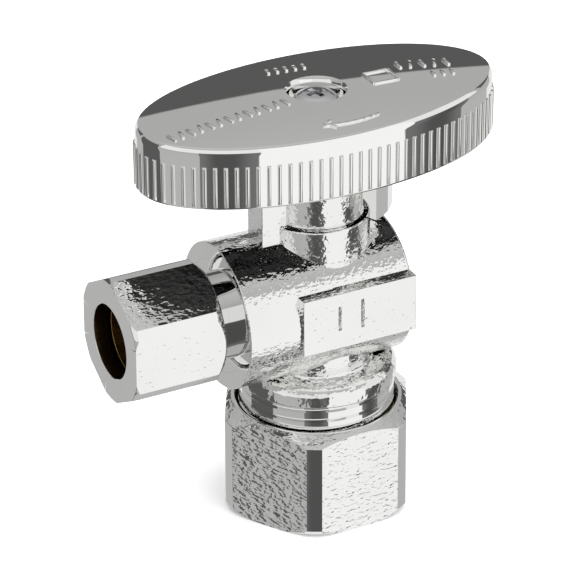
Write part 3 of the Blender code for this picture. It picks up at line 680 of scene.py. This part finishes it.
class VALVE_OT_body(bpy.types.Operator):
    """Forge the body: barrel, bonnet, pad and stop lug in one skin, then bore it"""

    bl_idname = "valve.body"
    bl_label = "Body"

    def execute(self, context):
        sizes = context.scene.valve_sizes
        body = turned("body_forging", rounded([
            (0.0, BODY_HIGH.z, 0.0), (BONNET_TOP_R, BODY_HIGH.z, 0.35),
            (BONNET_TOP_R, BONNET_STEP_Z, 0.1), (BONNET_R, BONNET_STEP_Z, 0.35),
            (BONNET_R, AXIS_Z, 0.0), (NECK_R, AXIS_Z, 0.0), (NECK_R, SHOULDER_TOP, 0.6),
            (SHOULDER_R, SHOULDER_TOP, 2.0), (SHOULDER_R, SHOULDER_FOOT, 0.3),
            (THREAD_ROOT_R, SHOULDER_FOOT, 0.0), (THREAD_ROOT_R, SHOULDER_FOOT - 0.6, 0.0),
            (0.0, SHOULDER_FOOT - 0.6, 0.0)]))
        barrel = lay_out(turned("barrel", rounded([
            (0.0, BARREL_OUTLET_X, 0.0), (BARREL_R, BARREL_OUTLET_X, 0.18),
            (BARREL_R, BARREL_STEP_X, 0.0), (BARREL_RIGHT_R, BARREL_STEP_X, 0.0),
            (BARREL_RIGHT_R, BARREL_CLOSED_X, 0.5), (0.0, BARREL_CLOSED_X, 0.0)]), 216))
        pad = block("pad", PAD_LOW, PAD_HIGH, 0.12)
        lug = block("lug", LUG_LOW, LUG_HIGH, 0.15)
        for piece in (barrel, pad, lug):
            combine(body, piece, "UNION")
        self.cut_bars(body, sizes.bar_depth / MM)
        self.cut_bores(body)
        clean(body)
        smooth(body, math.radians(30.0))
        dress(body, finish_of("forged_chrome"), finish_of("bore_brass_painted_shade"),
              finish_of("shoulder_chrome"), finish_of("smooth_chrome"))
        paint(body, 2, lambda c, n: c.z < SHOULDER_TOP + 0.2)
        paint(body, 3, lambda c, n: c.x < BARREL_OUTLET_X + 0.05 or c.z > BODY_HIGH.z - 0.1)
        # Bore faces get the bare brass darkened as painted shade.
        paint(body, 1, self.is_bore)
        ready(body, "body", "forged_chrome", "valve_body")
        self.thread(context)
        return {"FINISHED"}

    def cut_bars(self, body, depth):
        """Two plain bars sunk in the pad."""
        half_wide = 0.25
        for x, low, high in ((-1.92, 29.3, 32.8), (1.37, 29.0, 33.1)):
            bar = block("bar", (x - half_wide, PAD_FACE_Y - 1.0, low),
                        (x + half_wide, PAD_FACE_Y + depth, high), 0.08)
            combine(body, bar, "DIFFERENCE")

    def cut_bores(self, body):
        """The stem's bore, the waterway, the ball's cavity and the outlet's bore."""
        upright = turned("upright", [
            (0.0, BODY_HIGH.z + 1.5), (STEM_BORE_R + 0.4, BODY_HIGH.z + 1.5),
            (STEM_BORE_R, BODY_HIGH.z - 0.1), (STEM_BORE_R, 39.2), (WATERWAY_R, 39.2),
            (WATERWAY_R, TUBE_STOP_Z), (INLET["hole"], TUBE_STOP_Z),
            (INLET["hole"], TUBE_STOP_Z - 1.5), (0.0, TUBE_STOP_Z - 1.5)], SMALL_ROUND)
        mouth = ADAPTER_R + 0.01
        cavity = lay_out(turned("cavity", [
            (0.0, BARREL_OUTLET_X - 1.5), (mouth, BARREL_OUTLET_X - 1.5),
            (mouth, BARREL_OUTLET_X + 0.3), (BARREL_BORE_R, BARREL_OUTLET_X + 0.5),
            (BARREL_BORE_R, -7.6), (BALL_CAVITY_R, -7.6), (BALL_CAVITY_R, 7.3), (0.0, 7.3)],
            SMALL_ROUND))
        for cutter in (upright, cavity):
            combine(body, cutter, "DIFFERENCE")

    def is_bore(self, c, n):
        """True for faces inside the bores, which the plating doesn't reach."""
        off_axis = math.hypot(c.x, c.y)
        off_barrel = math.hypot(c.y, c.z - AXIS_Z)
        upright = off_axis < WATERWAY_R + 0.2 and n.x * c.x + n.y * c.y < 0
        socket = c.z < TUBE_STOP_Z + 0.1 and off_axis < INLET["hole"] + 0.16
        barrel = off_barrel < BARREL_BORE_R + 0.05 and BARREL_OUTLET_X + 0.4 < c.x < 7.6
        return upright or socket or barrel

    def thread(self, context):
        """The inlet's threaded end, sunk a little in the shoulder."""
        low, high = INLET["mouth"], SHOULDER_FOOT + 0.2
        blank = turned("body_inlet_thread", rounded([
            (9.22, high, 0.0), (11.0, high, 0.0), (11.0, low + 1.3, 0.0), (9.75, low, 0.15),
            (9.35, low, 0.1), (INLET["hole"], low + 3.4, 0.0), (INLET["hole"], high, 0.0)],
            closed=True), closed=True)
        threaded("inlet", blank, INLET, low, high, depth=0.42)
        smooth(blank)
        dress(blank, finish_of("smooth_chrome"), finish_of("bore_brass_painted_shade"))
        # The thread's bore gets the bare brass darkened as painted shade.
        paint(blank, 1, lambda c, n: math.hypot(c.x, c.y) < 9.2)
        ready(blank, "body", "forged_chrome", "valve_body")


class VALVE_OT_adapter(bpy.types.Operator):
    """Turn the threaded outlet adapter that screws into the barrel"""

    bl_idname = "valve.adapter"
    bl_label = "Outlet Adapter"

    def execute(self, context):
        face = -OUT_LOW.x
        low, high = OUTLET["mouth"], BARREL_OUTLET_X + face - 0.05
        neck = high - NECK_SHOWN
        hole, step, tail = OUTLET["hole"], face - 7.9, face + BARREL_OUTLET_X + 0.005
        blank = turned("adapter_outlet_thread", rounded([
            (5.3, neck, 0.0), (6.3, neck, 0.0), (8.2, neck - 0.45, 0.0), (8.2, low + 1.1, 0.0),
            (6.7, low, 0.12), (6.2, low, 0.1), (hole, low + 2.5, 0.0), (hole, neck, 0.0)],
            closed=True), SMALL_ROUND, closed=True)
        threaded("outlet", blank, OUTLET, low, neck, depth=0.34)
        inner = turned("adapter_body", rounded([
            (6.2, face - 7.3, 0.1), (6.2, step, 0.0), (ADAPTER_R, step, 0.15),
            (ADAPTER_R, face - 10.8, 0.05), (6.3, face - 10.8, 0.05), (6.3, face - 12.4, 0.05),
            (ADAPTER_R, face - 12.4, 0.05), (ADAPTER_R, tail, 0.0), (ADAPTER_NECK_R, tail, 0.0),
            (ADAPTER_NECK_R, neck - 0.4, 0.0), (5.3, neck - 0.4, 0.0), (5.3, face - 18.4, 0.0),
            (ADAPTER_WATERWAY_R, face - 18.126, 0.05), (ADAPTER_WATERWAY_R, face - 7.3, 0.1)],
            closed=True), SMALL_ROUND, closed=True)
        combine(lay_out(blank, OUT_LOW.x), lay_out(inner, OUT_LOW.x), "UNION")
        smooth(blank)
        dress(blank, finish_of("smooth_chrome"), finish_of("bore_brass_painted_shade"))
        # The adapter's bore gets the bare brass darkened as painted shade.
        paint(blank, 1, lambda c, n: math.hypot(c.y, c.z - AXIS_Z) < 5.2)
        ready(blank, "body", "forged_chrome", "outlet_adapter")
        return {"FINISHED"}


class VALVE_OT_nuts(bpy.types.Operator):
    """Cut the two hexagon nuts with trimmed corners and coned ends"""

    bl_idname = "valve.nuts"
    bl_label = "Compression Nuts"

    def execute(self, context):
        edge = context.scene.valve_sizes.edge_round / MM
        inlet = self.nut("nut_inlet", INLET, edge)
        self.skin(inlet, INLET, "inlet_nut_chrome", Vector((0.0, 0.0, 1.0)))
        ready(inlet, "inlet_nut", "forged_chrome", "inlet_nut")
        outlet = lay_out(self.nut("nut_outlet", OUTLET, edge), OUT_LOW.x)
        self.skin(outlet, OUTLET, "outlet_nut_chrome", Vector((1.0, 0.0, 0.0)))
        ready(outlet, "outlet_nut", "forged_chrome", "outlet_nut")
        return {"FINISHED"}

    def nut(self, name, size, edge):
        """One nut, from its outer face at height zero upwards."""
        length, corner, hole, lip = size["length"], size["corner"], size["hole"], size["lip"]
        bore = size["thread"] + 0.3
        top = max(corner - size["top_wide"], bore + 0.3)
        blank = turned(name, rounded([
            (top, length, 0.25), (corner, length - size["top_high"], 0.15),
            (corner, size["cone"], 0.15), (corner - size["cone"], 0.0, 0.12),
            (hole + 0.06, 0.0, 0.0), (hole, 0.06, 0.0), (hole, lip, 0.0),
            (bore, lip + bore - hole, 0.1), (bore, length - 0.5, 0.0),
            (bore + 0.25, length, 0.0)], closed=True), 180, closed=True)
        deselect()
        bpy.ops.mesh.primitive_cylinder_add(
            vertices=6, radius=size["flats"] / math.sqrt(3) * MM, depth=(length + 4.0) * MM,
            location=(0.0, 0.0, length / 2 * MM),
            rotation=(0.0, 0.0, math.radians(30.0 + size["turn"])))
        combine(blank, settle(bpy.context.object), "INTERSECT")
        clean(blank)
        finish_modifier(blank, "BEVEL", width=edge * 0.6 * MM, segments=2, limit_method="ANGLE",
                        angle_limit=math.radians(24.0), use_clamp_overlap=True,
                        harden_normals=False)
        return smooth(blank, math.radians(30.0))

    def skin(self, obj, size, facet, along):
        """Forged skin on the six facets and the top cone, smooth plating elsewhere."""
        dress(obj, finish_of("smooth_chrome"), finish_of(facet), finish_of("bore_brass_painted_shade"))
        start = Vector((OUT_LOW.x, 0.0, AXIS_Z)) if along.x else Vector()
        length = size["length"]

        def test_skin(c, n):
            height = (c - start).dot(along)
            off = (c - start - along * height).length
            rise = n.dot(along)
            flat = abs(rise) < 0.02 and off < size["corner"] * 0.992 and height > 0.3
            cone = 0.2 < rise < 0.93 and height > length - 2.6
            return off > size["flats"] / 2 * 0.9 and (flat or cone)

        def test_bore(c, n):
            height = (c - start).dot(along)
            out = c - start - along * height
            return out.length < size["thread"] + 0.4 and n.dot(out) < 0 and height > 0.05

        paint(obj, 1, test_skin)
        # The nut's threaded hole gets the bare brass darkened as painted shade.
        paint(obj, 2, test_bore)


class VALVE_OT_sleeves(bpy.types.Operator):
    """Turn the two brass compression sleeves"""

    bl_idname = "valve.sleeves"
    bl_label = "Sleeves"

    def execute(self, context):
        for name, node, size in (("sleeve_inlet", "inlet_sleeve", INLET),
                                 ("sleeve_outlet", "outlet_sleeve", OUTLET)):
            low, high = box_mm(node)
            along_x = size is OUTLET
            start = low.x - OUT_LOW.x if along_x else low.z
            end = high.x - OUT_LOW.x if along_x else high.z
            outer = (high.y - low.y) / 2
            inner = size["tube"] + 0.1
            band = end - 3.3
            first = outer - (band - start)
            ring = turned(name, rounded([
                (outer - 0.792, end, 0.08), (outer, end - 2.2, 0.25), (outer, band, 0.25),
                (first, start, 0.06), (inner, start, 0.06), (inner, end, 0.06)],
                closed=True), SMALL_ROUND, closed=True)
            if along_x:
                lay_out(ring, OUT_LOW.x)
            smooth(ring)
            dress(ring, finish_of("brass"))
            ready(ring, node, "brass", node)
        return {"FINISHED"}


def oval(long_r, short_r, count):
    """Points at even steps round an oval, from its long end."""
    fine = 7200
    length, marks, last = 0.0, [0.0], Vector((long_r, 0.0))
    for i in range(1, fine + 1):
        angle = math.tau * i / fine
        here = Vector((long_r * math.cos(angle), short_r * math.sin(angle)))
        length += (here - last).length
        marks.append(length)
        last = here
    points, k = [], 0
    for i in range(count):
        want = length * i / count
        while marks[k + 1] < want:
            k += 1
        share = (want - marks[k]) / (marks[k + 1] - marks[k])
        angle = math.tau * (k + share) / fine
        points.append((long_r * math.cos(angle), short_r * math.sin(angle), 0.0))
    return points


class VALVE_OT_handle(bpy.types.Operator):
    """Draw the oval handle ring by ring, with its ribs, skirt, hub and screw recess"""

    bl_idname = "valve.handle"
    bl_label = "Handle"

    def execute(self, context):
        sizes = context.scene.valve_sizes
        rib = sizes.rib_height / MM
        long_r, short_r = HANDLE_HIGH.x - rib, HANDLE_HIGH.y - rib
        outline = oval(long_r, short_r, sizes.rib_count * RIB_STEPS)
        handle = line("handle_cap", outline, closed=True)
        self.rings(handle, long_r, short_r)
        self.skirt(handle)
        self.ribs(handle, sizes, outline, long_r, short_r)
        clean(handle)
        self.cut(handle)
        smooth(handle, math.radians(32.0))
        dress(handle, finish_of("polished_chrome"), finish_of("handle_hollow_painted_shade"))
        hollow_long, hollow_short = long_r - HANDLE_WALL + 0.3, short_r - HANDLE_WALL + 0.3
        # The hollow's wall and ceiling get the near-black painted shade.
        paint(handle, 1, lambda c, n: HANDLE_BOTTOM + 0.3 < c.z < CEILING + 0.05
              and (c.x / hollow_long) ** 2 + (c.y / hollow_short) ** 2 < 1.0)
        ready(handle, "handle", "polished_chrome", "handle")
        self.marks(sizes)
        return {"FINISHED"}

    def marks(self, sizes):
        """Plain raised marks on the plate: rows of bars, a square and an arc arrow."""
        made = []
        thin, sunk = 0.34, 0.1
        top_long, top_short = HANDLE_HIGH.x - EDGE_WIDE, HANDLE_HIGH.y - EDGE_WIDE
        rise = HANDLE_HIGH.z - EDGE_TOP

        def bar(x, y, long, turn, wide=thin):
            """A bar about (x, y), leaned with the dome and sunk a little in it."""
            z = HANDLE_HIGH.z - rise * ((x / top_long) ** 2 + (y / top_short) ** 2)
            up = Vector((2 * rise * x / top_long ** 2, 2 * rise * y / top_short ** 2, 1.0))
            piece = block("mark", (-long / 2, -wide / 2, -sunk),
                          (long / 2, wide / 2, sizes.mark_height / MM), 0.07)
            lean = Vector((0.0, 0.0, 1.0)).rotation_difference(up).to_matrix().to_4x4()
            piece.matrix_world = (Matrix.Translation(Vector((x, y, z)) * MM) @ lean
                                  @ Matrix.Rotation(math.radians(turn), 4, "Z"))
            made.append(settle(piece))

        def row(start, end, count, long, lean):
            """Bars side by side from one point to another."""
            start, end = Vector(start), Vector(end)
            along = math.degrees(math.atan2(end.y - start.y, end.x - start.x))
            for i in range(count):
                place = start.lerp(end, i / (count - 1))
                bar(place.x, place.y, long, along + 90.0 + lean * (-1) ** i, 0.4)

        row((-22.0, -3.5), (-5.4, -1.9), 13, 1.7, 12.0)
        row((12.7, 1.6), (19.0, 0.2), 5, 1.9, 10.0)
        row((15.6, -2.5), (18.2, -2.8), 3, 1.3, 0.0)
        row((-3.0, 7.7), (1.8, 7.0), 5, 1.3, 0.0)
        for x, y, long, turn in ((9.0, 1.0, 3.6, 0.0), (9.0, -2.2, 3.6, 0.0),
                                 (7.2, -0.6, 3.2, 90.0), (10.8, -0.6, 3.2, 90.0)):
            bar(x, y, long, turn)
        arc, arc_y = 14.0, 4.0
        for i in range(7):
            angle = math.radians(-104.0 + 4.6 * i)
            bar(arc * math.cos(angle), arc_y + arc * math.sin(angle), 1.3,
                math.degrees(angle) + 90.0)
        bar(-3.1, -8.9, 1.3, 20.0)
        bar(-2.9, -9.9, 1.3, -52.0)
        only(made[0])
        for piece in made[1:]:
            piece.select_set(True)
        bpy.ops.object.join()
        marks = bpy.context.object
        marks.name = "handle_marks"
        smooth(marks)
        dress(marks, finish_of("polished_chrome"))
        ready(marks, "handle", "polished_chrome")

    def rings(self, handle, long_r, short_r):
        """Extrude the outline in rings from the hub's underside round to the crown."""
        bottom, crown = HANDLE_BOTTOM, HANDLE_HIGH.z
        side_top = EDGE_TOP - EDGE_HIGH
        inner_long, inner_short = long_r - HANDLE_WALL, short_r - HANDLE_WALL
        hub = ((0.4, HUB_BOTTOM), (HUB_R - 0.3, HUB_BOTTOM), (HUB_R, HUB_BOTTOM + 0.3),
               (HUB_R, CEILING - 0.5), (HUB_R + 0.15, CEILING - 0.15), (HUB_R + 0.5, CEILING),
               (SKIRT_IN_R, CEILING), (SKIRT_OUT_R, CEILING))
        steps = [(radius, radius, height) for radius, height in hub]
        steps += [
            (inner_long - 0.6, inner_short - 0.6, CEILING),
            (inner_long - 0.18, inner_short - 0.18, CEILING - 0.18),
            (inner_long, inner_short, CEILING - 0.6), (inner_long, inner_short, bottom + 0.2),
            (inner_long + 0.15, inner_short + 0.15, bottom),
            (long_r - 0.25, short_r - 0.25, bottom),
            (long_r - 0.07, short_r - 0.07, bottom + 0.07),
            (long_r, short_r, bottom + 0.25), (long_r, short_r, bottom + 0.34),
            (long_r, short_r, RIB_TOP), (long_r, short_r, side_top - 0.15),
            (long_r, short_r, side_top)]
        for i in range(1, 7):
            angle = EDGE_SWEEP * i / 6
            cut = EDGE_ROUND * (1.0 - math.cos(angle))
            steps.append((long_r - cut, short_r - cut, side_top + EDGE_ROUND * math.sin(angle)))
        top_long, top_short = long_r - EDGE_WIDE, short_r - EDGE_WIDE
        for share in (1.0, 0.985, 0.965, 0.94, 0.9, 0.85, 0.8, 0.74, 0.66, 0.58, 0.5, 0.42,
                      0.34, 0.26, 0.18, 0.1, 0.04):
            steps.append((top_long * share, top_short * share,
                          crown - (crown - EDGE_TOP) * share ** 2))
        edit(handle)
        bpy.ops.mesh.select_all(action="SELECT")
        a, b, z = long_r, short_r, 0.0
        for i, (next_a, next_b, next_z) in enumerate(steps):
            if i:
                bpy.ops.mesh.extrude_region_move(
                    TRANSFORM_OT_translate={"value": (0.0, 0.0, (next_z - z) * MM)})
            else:
                bpy.ops.transform.translate(value=(0.0, 0.0, next_z * MM))
            bpy.ops.transform.resize(value=(next_a / a, next_b / b, 1.0),
                                     center_override=(0.0, 0.0, next_z * MM))
            a, b, z = next_a, next_b, next_z
        bpy.ops.mesh.edge_face_add()
        leave()
        edit(handle)
        bpy.ops.mesh.select_all(action="DESELECT")
        leave()
        for vertex in handle.data.vertices:
            on_face = vertex.co.z < (HUB_BOTTOM + 0.001) * MM
            vertex.select = on_face and vertex.co.xy.length < 0.5 * MM
        edit(handle)
        bpy.ops.mesh.edge_face_add()
        bpy.ops.mesh.select_all(action="SELECT")
        bpy.ops.mesh.normals_make_consistent(inside=False)
        leave()

    def skirt(self, handle):
        """Draw the part ring down from the ceiling between its two stops."""
        edge = 0.25

        def under(c, n):
            angle = math.atan2(c.y, c.x)
            ring = SKIRT_IN_R - 0.05 < c.xy.length < SKIRT_OUT_R + 0.05
            flat = abs(c.z - CEILING) < 0.02 and n.z < -0.9
            return ring and flat and SKIRT_START < angle < SKIRT_END

        choose(handle, under)
        bpy.ops.mesh.extrude_region_move(
            TRANSFORM_OT_translate={"value": (0.0, 0.0, (HANDLE_LOW.z + edge - CEILING) * MM)})
        bpy.ops.mesh.inset(thickness=edge * MM, depth=edge * MM)
        leave()

    def ribs(self, handle, sizes, outline, long_r, short_r):
        """Raise the first faces of every few round the wall as a half-round rib."""
        def key(c):
            return round(c.x, 1), round(c.y, 1)

        chosen = set()
        for i, here in enumerate(outline):
            if i % RIB_STEPS < RIB_WIDE:
                there = outline[(i + 1) % len(outline)]
                chosen.add(key((Vector(here) + Vector(there)) / 2))

        def rib(c, n):
            edge = c.x ** 2 / long_r ** 2 + c.y ** 2 / short_r ** 2 > 0.97
            return edge and HANDLE_BOTTOM + 0.3 < c.z < RIB_TOP and key(c) in chosen

        choose(handle, rib)
        for thickness, depth in ((0.13, 0.42), (0.22, 0.28), (0.28, 0.19), (0.37, 0.11)):
            bpy.ops.mesh.inset(thickness=sizes.rib_bevel * thickness,
                               depth=sizes.rib_height * depth)
        leave()

    def cut(self, handle):
        """The screw recess with its coned rim, the screw hole and the drive socket."""
        crown = HANDLE_HIGH.z
        recess = turned("recess", rounded([
            (0.0, crown + 2.0, 0.0), (5.95, crown + 2.0, 0.0), (3.9, crown - 0.12, 0.0),
            (3.7, crown - 0.38, 0.0), (3.56, crown - 0.64, 0.0), (RECESS_R, crown - 0.95, 0.0),
            (RECESS_R, RECESS_FLOOR, 0.3), (0.0, RECESS_FLOOR, 0.0)], steps=4), SMALL_ROUND)
        hole = turned("hole", [(0.0, 57.0), (2.3, 57.0), (2.3, 53.0), (0.0, 53.0)], SMALL_ROUND)
        socket = turned("socket", [(0.0, 54.3), (4.1, 54.3), (4.1, 46.5), (0.0, 46.5)],
                        SMALL_ROUND)
        combine(socket, block("slab", (-6.0, -2.9, 46.0), (6.0, 2.9, 55.0)), "INTERSECT")
        for cutter in (recess, hole, socket):
            combine(handle, cutter, "DIFFERENCE")


class VALVE_OT_screw(bpy.types.Operator):
    """Turn the handle screw and press its cross recess"""

    bl_idname = "valve.screw"
    bl_label = "Handle Screw"

    def execute(self, context):
        low, high = box_mm("handle_screw")
        top, seat = high.z, RECESS_FLOOR + 0.3
        head, shank, floor = 2.9, 2.0, top - 1.35
        screw = turned("screw_cross_head", rounded([
            (0.0, top, 0.0), (1.8, top - 0.1, 0.6), (2.62, top - 0.42, 0.5),
            (head, top - 1.05, 0.3), (head, seat, 0.12), (shank, seat, 0.15),
            (shank, low.z + 0.4, 0.0), (1.6, low.z, 0.0), (0.0, low.z, 0.0)]), SMALL_ROUND)
        for turn in (0.0, 90.0):
            bar = block("cross", (-1.75, -0.42, floor), (1.75, 0.42, top + 1.0))
            choose(bar, lambda c, n: n.z < -0.9)
            bpy.ops.transform.resize(value=(0.5, 0.72, 1.0),
                                     center_override=(0.0, 0.0, floor * MM))
            leave()
            bar.rotation_euler = (0.0, 0.0, math.radians(turn + 12.0))
            combine(screw, settle(bar), "DIFFERENCE")
        clean(screw)
        smooth(screw)
        dress(screw, finish_of("screw_steel"))
        ready(screw, "handle", "screw_steel", "handle_screw")
        return {"FINISHED"}


class VALVE_OT_inner(bpy.types.Operator):
    """Give the inner pieces of the frame their finishes"""

    bl_idname = "valve.inner"
    bl_label = "Inner Pieces"

    def execute(self, context):
        for node, finish in (("ball", "polished_chrome"), ("stem", "brass"),
                             ("seat_back", "seat_plastic"), ("seat_outlet", "seat_plastic"),
                             ("stem_washer", "seat_plastic"), ("adapter_o_ring", "rubber"),
                             ("stem_o_ring_lower", "rubber"), ("stem_o_ring_upper", "rubber")):
            dress(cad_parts[node], finish_of(finish))
        return {"FINISHED"}


class VALVE_PT_panel(bpy.types.Panel):
    """Lists the valve's properties and operators"""

    bl_idname = "VALVE_PT_panel"
    bl_label = "Angle Stop Valve"
    bl_space_type = "VIEW_3D"
    bl_region_type = "UI"
    bl_category = "Valve"

    def draw(self, context):
        layout = self.layout
        for owner in (context.scene.valve_sizes, context.scene.valve_finish,
                      context.scene.valve_stage):
            box = layout.box()
            for key in owner.__annotations__:
                box.prop(owner, key)
        for operator in OPERATORS:
            layout.operator(operator.bl_idname)


GROUPS = (ValveSizes, ValveFinish, ValveStage)
OPERATORS = (VALVE_OT_stage, VALVE_OT_body, VALVE_OT_adapter, VALVE_OT_nuts,
             VALVE_OT_sleeves, VALVE_OT_handle, VALVE_OT_screw, VALVE_OT_inner)


def register():
    """Register the classes and hang the property groups on the scene."""
    for cls in (*GROUPS, *OPERATORS, VALVE_PT_panel):
        bpy.utils.register_class(cls)
    bpy.types.Scene.valve_sizes = PointerProperty(type=ValveSizes)
    bpy.types.Scene.valve_finish = PointerProperty(type=ValveFinish)
    bpy.types.Scene.valve_stage = PointerProperty(type=ValveStage)


def unregister():
    """Take the property groups and classes away again."""
    for key in ("valve_sizes", "valve_finish", "valve_stage"):
        delattr(bpy.types.Scene, key)
    for cls in reversed((*GROUPS, *OPERATORS, VALVE_PT_panel)):
        bpy.utils.unregister_class(cls)


def main():
    """Build everything in order."""
    register()
    for operator in OPERATORS:
        family, name = operator.bl_idname.split(".")
        getattr(getattr(bpy.ops, family), name)()


if __name__ == "__main__":
    main()
